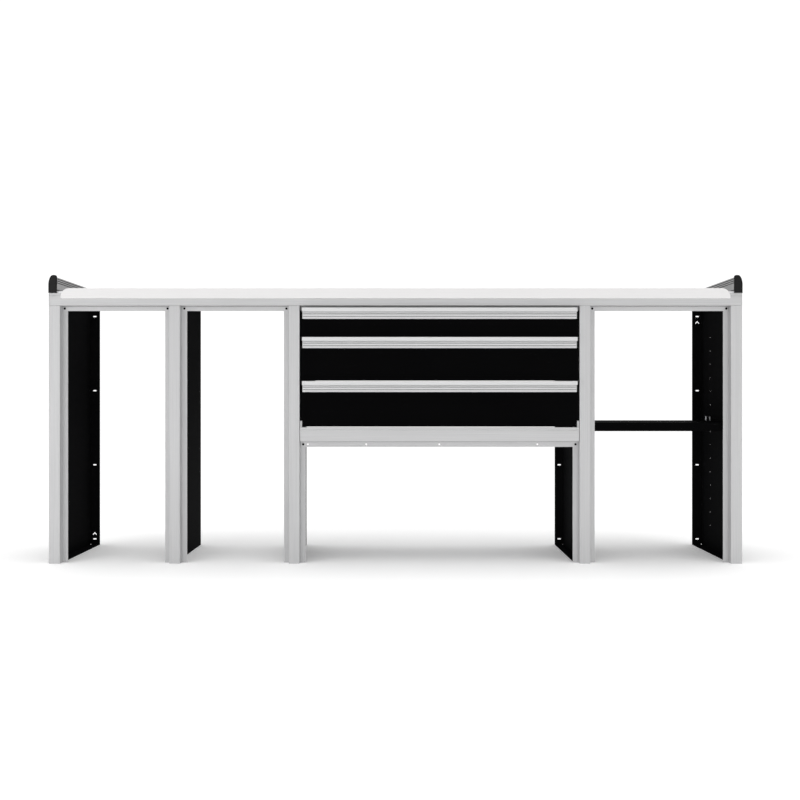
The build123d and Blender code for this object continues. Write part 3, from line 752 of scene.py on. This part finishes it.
@dataclass
class RearTubes:
    """The square tubes across the back and the plugs in the long one's ends."""

    wall: float = 1.5 * MM
    plug_depth: float = 14.0 * MM
    plug_crown: float = 0.6 * MM
    plug_gap: float = 0.1 * MM
    plug_rim: float = 2.5 * MM
    plug_sink: float = 1.0 * MM
    plug_edge: float = 0.7 * MM

    def build(self) -> None:
        """Build both tubes and the plugs."""
        softened_node("rear_top_rail", BOX_STEEL, width=0.6)
        softened_node("drawer_bay_rear_tie", BOX_STEEL, width=0.6)
        low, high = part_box("rear_top_rail")
        for side in Side:
            self.plug(side, low, high)

    def plug(self, side: Side, low: Vector, high: Vector) -> None:
        """Build the plug in one end of the long tube.

        Args:
            side: The end of the bench.
            low: The tube's lowest corner.
            high: The tube's highest corner.
        """
        end = low.x if side is Side.LEFT else high.x
        mouth = end - side.value * self.plug_crown
        start = end - side.value * self.plug_depth
        gap = self.wall + self.plug_gap
        shaper = Shaper.block(
            f"rear_tube_plug_{side.name.lower()}",
            (min(start, mouth), low.y + gap, low.z + gap),
            (max(start, mouth), high.y - gap, high.z - gap),
        )
        with shaper.editing():
            shaper.pick_faces(lambda c, n: n.x * side.value > 0.9)
            shaper.inset(self.plug_rim)
            shaper.extrude((-side.value * self.plug_sink, 0.0, 0.0))
            shaper.soften(self.plug_edge, 3)
        shaper.dress(PLUG_PLASTIC, "frame")


@dataclass
class Worktop:
    """The white board and the deeper nosing along its front."""

    corner: float = 30.0 * MM
    corner_steps: int = 10
    nosing_edge: float = 2.2 * MM
    board_edge: float = 0.7 * MM
    joint_edge: float = 0.25 * MM

    def build(self) -> None:
        """Build the nosing and the board."""
        low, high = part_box("worktop_nosing")
        nosing = self.blank("worktop_nosing_rounded", low, high)
        with nosing.editing():
            nosing.pick_line(y=low.y)
            nosing.bevel(self.nosing_edge, 4)
            nosing.pick_line(y=high.y)
            nosing.bevel(self.joint_edge, 1)
        nosing.dress(WHITE_NOSING, "frame", ["worktop_nosing"])

        board_low, board_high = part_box("worktop_board")
        board = self.blank(
            "worktop_board_edged", (low.x, board_low.y, low.z), (high.x, board_high.y, board_high.z)
        )
        with board.editing():
            bpy.ops.mesh.select_all(action="SELECT")
            bpy.ops.mesh.bisect(
                plane_co=(0.0, 0.0, board_low.z), plane_no=(0.0, 0.0, 1.0), use_fill=True, clear_inner=True
            )
            board.pick_line(y=board_high.y)
            board.bevel(self.board_edge, 3)
            board.pick_line(y=board_low.y)
            board.bevel(self.joint_edge, 1)
        board.dress(WHITE_LAMINATE, "frame", ["worktop_board"])

    def blank(self, name: str, low: Sequence[float], high: Sequence[float]) -> Shaper:
        """Start a length of worktop with its rounded upper ends.

        Args:
            name: The piece's name.
            low: Its lowest corner.
            high: Its highest corner.

        Returns:
            The piece in hand.
        """
        shaper = Shaper.block(name, low, high)
        top = high[2]
        with shaper.editing():
            shaper.pick_edges(lambda a, b: min(a.z, b.z) > top - NEAR and abs(a.x - b.x) < NEAR)
            shaper.bevel(self.corner, self.corner_steps)
        return shaper


@dataclass
class EndRail:
    """A ridged rail on one end of the worktop, on its foot, with its front and rear caps."""

    side: Side
    width: float = 27.5 * MM
    foot_height: float = 6.0 * MM
    rail_flat: float = 7.0 * MM
    rail_shoulder: float = 22.0 * MM
    cap_flat: float = 11.5 * MM
    cap_shoulder: float = 28.0 * MM
    cap_corner: float = 6.5 * MM
    cap_edge: float = 1.8 * MM
    rim: float = 1.6 * MM
    recess: float = 0.9 * MM
    lean: float = 2.5 * MM
    lean_base: float = 33.0 * MM
    grooves: tuple[tuple[float, float, float], ...] = (
        (34.0, 36.6, 3.6), (41.0, 43.6, 4.2), (48.0, 50.6, 4.8),
    )
    undercut: tuple[float, float, float] = (6.0, 12.5, 7.0)
    hollow: tuple[float, float, float, float] = (5.0, 19.0, 18.0, 42.0)
    hollow_corner: float = 5.0 * MM
    round_steps: int = 14
    rail_edge: float = 0.35 * MM
    foot_edge: float = 0.8 * MM

    def build(self) -> None:
        """Build the rail, its foot and its two caps."""
        stem = f"end_rail_{self.side.name.lower()}"
        low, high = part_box(stem)
        self.rail(stem, low, high)
        self.foot(stem, low, high)
        self.cap(f"{stem}_front_cap", -1)
        self.cap(f"{stem}_rear_cap", 1)

    def length(self, name: str, reach: tuple[float, float], low: Vector, high: Vector) -> Shaper:
        """Start a block that runs front to back.

        Args:
            name: The piece's name.
            reach: Where it starts and ends, measured outward from the rail's inner face.
            low: Its lowest corner, whose X is not read.
            high: Its highest corner, whose X is the bench's half width.

        Returns:
            The block in hand.
        """
        inner = self.side.value * (high.x - self.width)
        ends = [inner + self.side.value * part for part in reach]
        return Shaper.block(name, (min(ends), low.y, low.z), (max(ends), high.y, high.z))

    def outline(
        self, name: str, inset: float, low: Vector, high: Vector, flat: float, shoulder: float
    ) -> Shaper:
        """Start a length that is flat inside and falls in a quarter ellipse outside.

        Args:
            name: The piece's name.
            inset: Where it starts, measured outward from the rail's inner face.
            low: Its lowest corner.
            high: Its highest corner.
            flat: The width of its top.
            shoulder: The height at which the ellipse begins.

        Returns:
            The piece in hand.
        """
        round_width = self.width - flat
        stretch = (high.z - shoulder) / round_width
        top = low.z + (high.z - low.z) / stretch
        shaper = self.length(name, (inset, self.width), low, Vector((high.x, high.y, top)))
        outer = self.side.value * high.x
        with shaper.editing():
            shaper.pick_line(x=outer, z=top)
            shaper.bevel(round_width, self.round_steps)
            bpy.ops.mesh.select_all(action="SELECT")
            bpy.ops.transform.resize(value=(1.0, 1.0, stretch), center_override=(0.0, 0.0, low.z))
        return shaper

    def spans(
        self, low: Vector, high: Vector, bottom: float, top: float, past: float = 0.0
    ) -> tuple[Vector, Vector]:
        """Return the corners of the part of a box between two heights, with the bench's half width as X."""
        half = max(abs(low.x), abs(high.x))
        return Vector((half, low.y - past, low.z + bottom)), Vector((half, high.y + past, low.z + top))

    def rail(self, stem: str, low: Vector, high: Vector) -> None:
        """Build the rail: a hollow length with grooves high on its inner face and an undercut low on it.

        Args:
            stem: The frame node.
            low: The node's lowest corner.
            high: The node's highest corner.
        """
        base = low.z
        body = self.spans(low, high, self.foot_height, high.z - base)
        rail = self.outline(f"{stem}_profile", 0.0, *body, self.rail_flat, base + self.rail_shoulder)
        inner = self.side.value * (body[1].x - self.width)
        with rail.editing():
            rail.cut(2, base + self.lean_base)
            rail.pick_line(x=inner, z=high.z)
            bpy.ops.transform.translate(value=(self.side.value * self.lean, 0.0, 0.0))
        for bottom, top, depth in (*self.grooves, self.undercut):
            span = self.spans(low, high, bottom * MM, top * MM, PAST)
            rail.carve(self.length("groove", (-PAST, depth * MM), *span))
        start, end, bottom, top = (part * MM for part in self.hollow)
        tunnel = self.length("hollow", (start, end), *self.spans(low, high, bottom, top, PAST))
        with tunnel.editing():
            tunnel.pick_edges(lambda a, b: abs(a.y - b.y) > self.width)
            tunnel.bevel(self.hollow_corner, 4)
        rail.carve(tunnel)
        with rail.editing():
            rail.soften(self.rail_edge, 2, 50.0)
        rail.dress(DEPTH_PROFILE, "frame", [stem])

    def foot(self, stem: str, low: Vector, high: Vector) -> None:
        """Build the flat foot that reaches inward over the worktop's end.

        Args:
            stem: The frame node.
            low: The node's lowest corner.
            high: The node's highest corner.
        """
        span = self.spans(low, high, 0.0, self.foot_height)
        reach = self.width - (high.x - low.x)
        foot = self.length(f"{stem}_foot", (reach, self.width), *span)
        with foot.editing():
            foot.soften(self.foot_edge, 3)
        foot.dress(FOOT_PROFILE, "frame")

    def cap(self, node: str, outward: int) -> None:
        """Build one cap: round at both upper corners, with a raised rim round its end face.

        Args:
            node: The frame node.
            outward: 1 where the cap closes the rear end and -1 where it closes the front end.
        """
        low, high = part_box(node)
        half = max(abs(low.x), abs(high.x))
        inset = self.width - (high.x - low.x)
        span = (Vector((half, low.y, low.z)), Vector((half, high.y, high.z)))
        cap = self.outline(f"{node}_moulded", inset, *span, self.cap_flat, low.z + self.cap_shoulder)
        inner = self.side.value * (half - self.width + inset)
        end = high.y if outward > 0 else low.y
        with cap.editing():
            cap.pick_line(x=inner, z=high.z)
            cap.bevel(self.cap_corner, 6)
            cap.pick_line(y=end)
            cap.bevel(self.cap_edge, 4)
            cap.pick_faces(lambda c, n: abs(c.y - end) < NEAR and n.y * outward > 0.9)
            cap.inset(self.rim)
            cap.extrude((0.0, -outward * self.recess, 0.0))
        cap.dress(CAP_PLASTIC, "frame", [node])


@dataclass
class Handle:
    """A drawer's aluminium handle: a ridged plate under a hooked finger lip."""

    drawer: str
    plate: float = 3.0 * MM
    lip: float = 2.5 * MM
    lip_drop: float = 11.0 * MM
    outer_bend: float = 4.6 * MM
    inner_bend: float = 2.2 * MM
    ridges: tuple[tuple[float, float], ...] = ((14.6, 18.9), (21.6, 27.9), (30.6, 36.4))
    ridge_height: float = 1.5 * MM
    edge: float = 0.45 * MM

    def build(self) -> None:
        """Build the handle and the plates on its ends."""
        node = f"{self.drawer}_handle"
        low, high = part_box(node)
        face = high.y - self.plate
        shaper = Shaper.block(f"{node}_profile", (low.x, face, low.z), high)
        with shaper.editing():
            shaper.cut(2, high.z - self.lip)
            for start, end in self.ridges:
                shaper.cut(2, high.z - start * MM)
                shaper.cut(2, high.z - end * MM)
            self.raise_ridges(shaper, high.z)
            self.fold_lip(shaper, low, high, face)
            shaper.soften(self.edge, 2, 50.0)
        shaper.dress(HANDLE_PROFILE, self.drawer, [node])
        softened_node(f"{self.drawer}_handle_ends", GREY_PLASTIC, self.drawer, width=0.25, segments=1)

    def raise_ridges(self, shaper: Shaper, top: float) -> None:
        """Raise the ridges of the plate in hand, measured down from the handle's top."""
        shaper.pick_faces(
            lambda c, n: n.y < -0.9
            and any(top - end * MM < c.z < top - start * MM for start, end in self.ridges)
        )
        shaper.extrude((0.0, -self.ridge_height, 0.0))

    def fold_lip(self, shaper: Shaper, low: Vector, high: Vector, face: float) -> None:
        """Draw the finger lip out of the plate's top and turn it down.

        Args:
            shaper: The handle in hand.
            low: The handle's lowest corner.
            high: The handle's highest corner.
            face: The plate's front.
        """
        shaper.pick_faces(lambda c, n: n.y < -0.9 and c.z > high.z - self.lip)
        shaper.extrude((0.0, low.y + self.lip - face, 0.0))
        shaper.extrude((0.0, -self.lip, 0.0))
        shaper.pick_faces(lambda c, n: n.z < -0.9 and c.y < low.y + self.lip)
        shaper.extrude((0.0, 0.0, -self.lip_drop))
        bpy.ops.mesh.select_all(action="SELECT")
        bpy.ops.mesh.dissolve_limited(angle_limit=FLAT_ANGLE)
        for y, z, width, steps in (
            (low.y, high.z, self.outer_bend, 7),
            (low.y + self.lip, high.z - self.lip, self.inner_bend, 4),
        ):
            shaper.pick_line(y=y, z=z)
            shaper.bevel(width, steps)


@dataclass
class Drawer:
    """One drawer: folded front, handle, sheet box and the members of its runners."""

    name: str
    sheet: float = 1.2 * MM
    front_bend: float = 1.4 * MM
    hem: float = 7.0 * MM
    bead_pitch: float = 112.0 * MM
    bead_half: float = 7.0 * MM
    bead_height: float = 0.9 * MM
    bead_slope: float = 2.5 * MM
    bead_margin: float = 30.0 * MM
    front_edge: float = 0.25 * MM
    box_edge: float = 0.4 * MM
    notch_width: float = 8.6 * MM
    lower_notch: float = 0.0
    upper_notch: float = 0.0

    def build(self) -> None:
        """Build the drawer's pieces."""
        self.front()
        Handle(self.name).build()
        self.box()
        softened_node(f"{self.name}_fixed_runners", ZINC, width=0.35)
        softened_node(f"{self.name}_middle_runners", ZINC, f"{self.name}_runner_slides", width=0.35)
        softened_node(f"{self.name}_inner_runners", ZINC, self.name, width=0.35)

    def front(self) -> None:
        """Build the folded front: a shallow pan with round outer bends."""
        node = f"{self.name}_front"
        low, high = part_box(node)
        shaper = Shaper.block(f"{node}_folded", low, high)
        with shaper.editing():
            shaper.pick_faces(lambda c, n: n.y > 0.9)
            shaper.inset(self.sheet)
            shaper.extrude((0.0, self.sheet - (high.y - low.y), 0.0))
            shaper.pick_line(y=low.y)
            shaper.bevel(self.front_bend, 4)
        self.notch(shaper, low, high)
        with shaper.editing():
            shaper.soften(self.front_edge, 1, 60.0)
        shaper.dress(FRONT_COAT, self.name, [node])

    def notch(self, shaper: Shaper, low: Vector, high: Vector) -> None:
        """Cut the corners of the front that pass round the frame's mouldings.

        Args:
            shaper: The front in hand.
            low: The front's lowest corner.
            high: The front's highest corner.
        """
        start, end = (low.x - PAST, low.y - PAST), (high.x + PAST, high.y + PAST)
        heights = []
        if self.lower_notch:
            heights.append((low.z - PAST, low.z + self.lower_notch))
        if self.upper_notch:
            heights.append((high.z - self.upper_notch, high.z + PAST))
        for bottom, top in heights:
            shaper.carve(Shaper.block("notch", (*start, bottom), (low.x + self.notch_width, end[1], top)))
            shaper.carve(Shaper.block("notch", (high.x - self.notch_width, start[1], bottom), (*end, top)))

    def box(self) -> None:
        """Build the sheet box: hemmed rim and beads pressed into the bottom."""
        node = f"{self.name}_box"
        low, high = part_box(node)
        shaper = Shaper.block(f"{node}_folded", low, high)
        floor = low.z + self.sheet
        with shaper.editing():
            shaper.pick_faces(lambda c, n: n.z > 0.9)
            shaper.inset(self.sheet)
            shaper.extrude((0.0, 0.0, floor - high.z))
            shaper.cut(2, high.z - self.sheet)
            inside = self.sheet + NEAR
            shaper.pick_faces(
                lambda c, n: abs(n.z) < 0.1 and c.z > high.z - self.sheet
                and low.x + NEAR < c.x < high.x - NEAR and low.y + NEAR < c.y < high.y - NEAR
                and (min(c.x - low.x, high.x - c.x) < inside or min(c.y - low.y, high.y - c.y) < inside)
            )
            bpy.ops.mesh.extrude_region_shrink_fatten(
                TRANSFORM_OT_shrink_fatten={"value": self.hem, "use_even_offset": True}
            )
            self.press_beads(shaper, low, high, floor)
            shaper.soften(self.box_edge, 2, 50.0)
        shaper.dress(BOX_STEEL, self.name, [node])

    def press_beads(self, shaper: Shaper, low: Vector, high: Vector, floor: float) -> None:
        """Press stiffening beads into the bottom.

        Args:
            shaper: The box in hand.
            low: The box's lowest corner.
            high: The box's highest corner.
            floor: The height of its inner floor.
        """
        middle = (low.x + high.x) / 2
        beads = [middle + step * self.bead_pitch for step in range(-3, 4)]
        for bead in beads:
            shaper.cut(0, bead - self.bead_half)
            shaper.cut(0, bead + self.bead_half)
        start, end = low.y + self.bead_margin, high.y - self.bead_margin
        shaper.cut(1, start)
        shaper.cut(1, end)
        shaper.pick_faces(
            lambda c, n: n.z > 0.9 and abs(c.z - floor) < NEAR and start < c.y < end
            and any(abs(c.x - bead) < self.bead_half for bead in beads)
        )
        shaper.inset(self.bead_slope)
        bpy.ops.transform.translate(value=(0.0, 0.0, self.bead_height))


@dataclass
class RunnerCarriers:
    """The folded channels that carry the runners in the drawer bay."""

    names: tuple[str, ...] = ("runner_carrier_left", "runner_carrier_right")

    def build(self) -> None:
        """Build both carriers."""
        for name in self.names:
            softened_node(name, BOX_STEEL, width=0.4)


@dataclass
class Shelf:
    """The folded shelf and the clips that hold it."""

    def build(self) -> None:
        """Build the shelf and its clips."""
        softened_node("shelf", FRONT_COAT, width=0.6)
        softened_node("shelf_clips", ZINC, width=0.35)


@dataclass
class Screws:
    """The button-head screws where posts and rails cross."""

    head_radius: float = 3.8 * MM
    head: float = 2.4 * MM
    crown: float = 1.5 * MM
    socket_radius: float = 1.45 * MM
    socket_depth: float = 1.4 * MM

    def build(self) -> None:
        """Build one screw and copy it to the other places."""
        places = self.places()
        first = self.screw(places[0])
        moves = [place - places[0] for place in places[1:]]
        rest = [first.copied(f"frame_screw_{number}", move) for number, move in enumerate(moves, 2)]
        first.dress(BLACK_SCREW, "frame", ["frame_screws"])
        for screw in rest:
            screw.dress(BLACK_SCREW, "frame")

    def places(self) -> list[Vector]:
        """Find the screws' places.

        Returns:
            The middle of each head's front.
        """
        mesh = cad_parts["frame_screws"].data
        front = min(vertex.co.y for vertex in mesh.vertices)
        groups: list[list[Vector]] = []
        for vertex in mesh.vertices:
            if vertex.co.y > front + NEAR:
                continue
            for group in groups:
                if (group[0] - vertex.co).length < 3 * self.head_radius:
                    group.append(vertex.co.copy())
                    break
            else:
                groups.append([vertex.co.copy()])
        middles = [self.middle(group) for group in groups]
        return sorted(middles, key=lambda point: (round(point.z, 4), point.x))

    @staticmethod
    def middle(points: list[Vector]) -> Vector:
        """Find the middle of a ring of points.

        Args:
            points: The points.

        Returns:
            The middle of their box.
        """
        low = Vector(min(p[k] for p in points) for k in range(3))
        high = Vector(max(p[k] for p in points) for k in range(3))
        return (low + high) / 2

    def screw(self, place: Vector) -> Shaper:
        """Model one screw head with its six-sided socket.

        Args:
            place: The middle of the head's front.

        Returns:
            The head in hand.
        """
        centre = place + Vector((0.0, self.head / 2, 0.0))
        head = Shaper.rod("frame_screw_1", centre, self.head_radius, self.head, 40)
        with head.editing():
            head.pick_line(y=place.y)
            head.bevel(self.crown, 4)
        socket = Shaper.rod("socket", place, self.socket_radius, 2 * self.socket_depth, 6)
        head.carve(socket)
        return head


# ---------------------------------------------------------------- studio
@dataclass
class Studio:
    """The plain pale floor, the soft lights and the camera."""

    floor_radius: float = 60.0
    floor_glow: float = 0.16
    camera_place: tuple[float, float, float] = (0.0155, -3.2105, 0.5627)
    lens: float = 39.54
    sky: float = 0.24
    seen_sky: float = 1.1
    sun: float = 2.4
    sun_spread: float = 70.0

    def build(self) -> None:
        """Set up the floor, the lights and the camera."""
        self.floor()
        self.world()
        self.soft_light("front", (-0.2, -5.2, 0.9), (0.0, 0.0, 0.45), 4.6, 30.0)
        self.soft_light("left", (-3.6, -3.0, 1.3), (0.0, 0.0, 0.45), 3.0, 29.0)
        self.soft_light("right", (3.6, -3.0, 1.3), (0.0, 0.0, 0.45), 3.0, 20.0)
        self.overhead()
        self.camera()
        bpy.context.scene.view_settings.view_transform = "Standard"

    def floor(self) -> None:
        """Lay the floor."""
        bpy.ops.object.select_all(action="DESELECT")
        bpy.ops.mesh.primitive_circle_add(vertices=96, radius=self.floor_radius, fill_type="NGON")
        floor = bpy.context.object
        floor.name = "floor"
        pale = Finish(
            "pale floor", Slot.LAMINATE, (0.95, 0.95, 0.95), roughness=0.9, specular=0.05,
            broad_scale=0.4, broad_shade=0.004, fine_scale=60.0, fine_shade=0.004, fine_height=0.0,
        )
        material = pale.material()
        inputs = material.node_tree.nodes["Principled BSDF"].inputs
        inputs["Emission Color"].default_value = (1.0, 1.0, 1.0, 1.0)
        inputs["Emission Strength"].default_value = self.floor_glow
        floor.data.materials.append(material)

    def world(self) -> None:
        """Light the surroundings evenly and leave the backdrop white."""
        world = bpy.data.worlds.new("studio")
        bpy.context.scene.world = world
        world.use_nodes = True
        tree = world.node_tree
        background = tree.nodes["Background"]
        background.inputs["Color"].default_value = (1.0, 1.0, 1.0, 1.0)
        rays = tree.nodes.new("ShaderNodeLightPath")
        strength = tree.nodes.new("ShaderNodeMapRange")
        strength.inputs["To Min"].default_value = self.sky
        strength.inputs["To Max"].default_value = self.seen_sky
        tree.links.new(rays.outputs["Is Camera Ray"], strength.inputs["Value"])
        tree.links.new(strength.outputs["Result"], background.inputs["Strength"])

    def soft_light(
        self, name: str, place: Sequence[float], target: Sequence[float], size: float, power: float
    ) -> None:
        """Hang one soft light.

        Args:
            name: Its name.
            place: Where it hangs.
            target: The point that it faces.
            size: The length of its sides.
            power: Its power, in watts.
        """
        data = bpy.data.lights.new(name, "AREA")
        data.size = size
        data.energy = power
        light = bpy.data.objects.new(name, data)
        bpy.context.scene.collection.objects.link(light)
        light.location = place
        light.rotation_euler = (Vector(target) - Vector(place)).to_track_quat("-Z", "Y").to_euler()

    def overhead(self) -> None:
        """Hang one broad light straight overhead, which reaches all of the floor alike."""
        data = bpy.data.lights.new("overhead", "SUN")
        data.energy = self.sun
        data.angle = math.radians(self.sun_spread)
        light = bpy.data.objects.new("overhead", data)
        bpy.context.scene.collection.objects.link(light)

    def camera(self) -> None:
        """Place the camera level with the middle of the bench, facing its front."""
        data = bpy.data.cameras.new("camera")
        data.sensor_width = 36.0
        data.lens = self.lens
        data.dof.use_dof = False
        camera = bpy.data.objects.new("camera", data)
        bpy.context.scene.collection.objects.link(camera)
        camera.location = self.camera_place
        camera.rotation_euler = (math.pi / 2, 0.0, 0.0)
        bpy.context.scene.camera = camera


def main() -> None:
    """Build the bench and its studio."""
    assemblies = [
        Studio(), FrontFrame(), SidePanels(), RearTubes(), Worktop(), EndRail(Side.LEFT), EndRail(Side.RIGHT),
        RunnerCarriers(), Drawer("drawer_1", upper_notch=8.5 * MM), Drawer("drawer_2"),
        Drawer("drawer_3", lower_notch=22.0 * MM), Shelf(), Screws(),
    ]
    for assembly in assemblies:
        assembly.build()
        log.info("%s is done", type(assembly).__name__)


if __name__ == "__main__":
    main()
